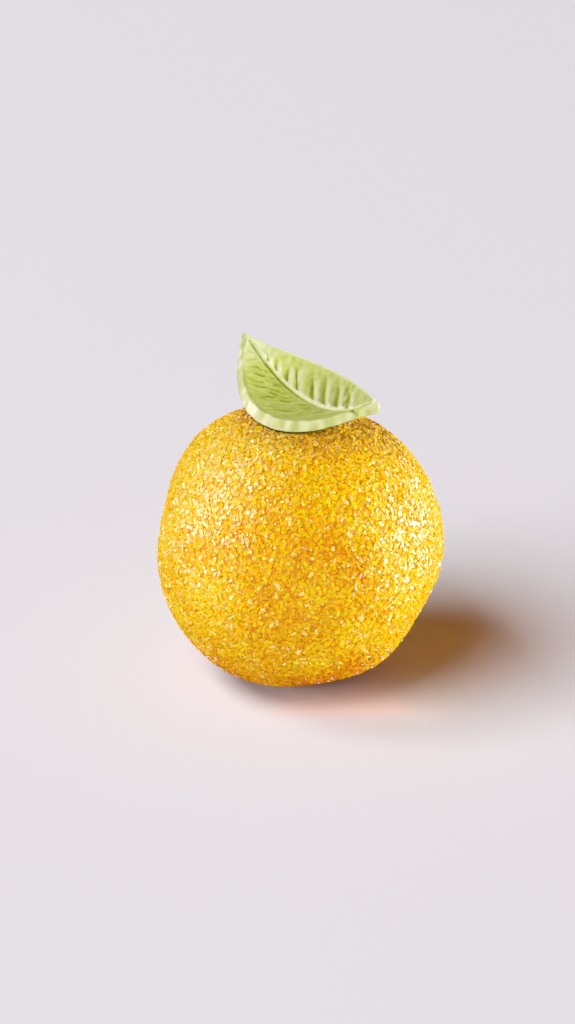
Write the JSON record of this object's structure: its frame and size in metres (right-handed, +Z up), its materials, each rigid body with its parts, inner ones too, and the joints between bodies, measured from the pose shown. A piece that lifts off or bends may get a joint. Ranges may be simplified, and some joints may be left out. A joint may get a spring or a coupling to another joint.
{
  "type": "brigadeiro",
  "caption": "Hand-rolled round sweet coated in coarse yellow sugar, with a small modelled green leaf pressed into its top, resting on a small flat spot.",
  "frame": {"origin": "middle of the flat spot on the underside that the ball rests on", "axes": "+Z up through the ball to the leaf, -Y towards the side that the leaf's long front margin shows to"},
  "size_m": [0.0298, 0.0298, 0.0337],
  "materials": {
    "sugared_paste": "rough coat of coarse yellow sugar crystals over soft paste",
    "leaf_paste": "satin pale green modelling paste with pressed veins"
  },
  "bodies": {
    "root": {"sugared_ball": "sugared_paste", "leaf": "leaf_paste"}
  },
  "joints": []
}
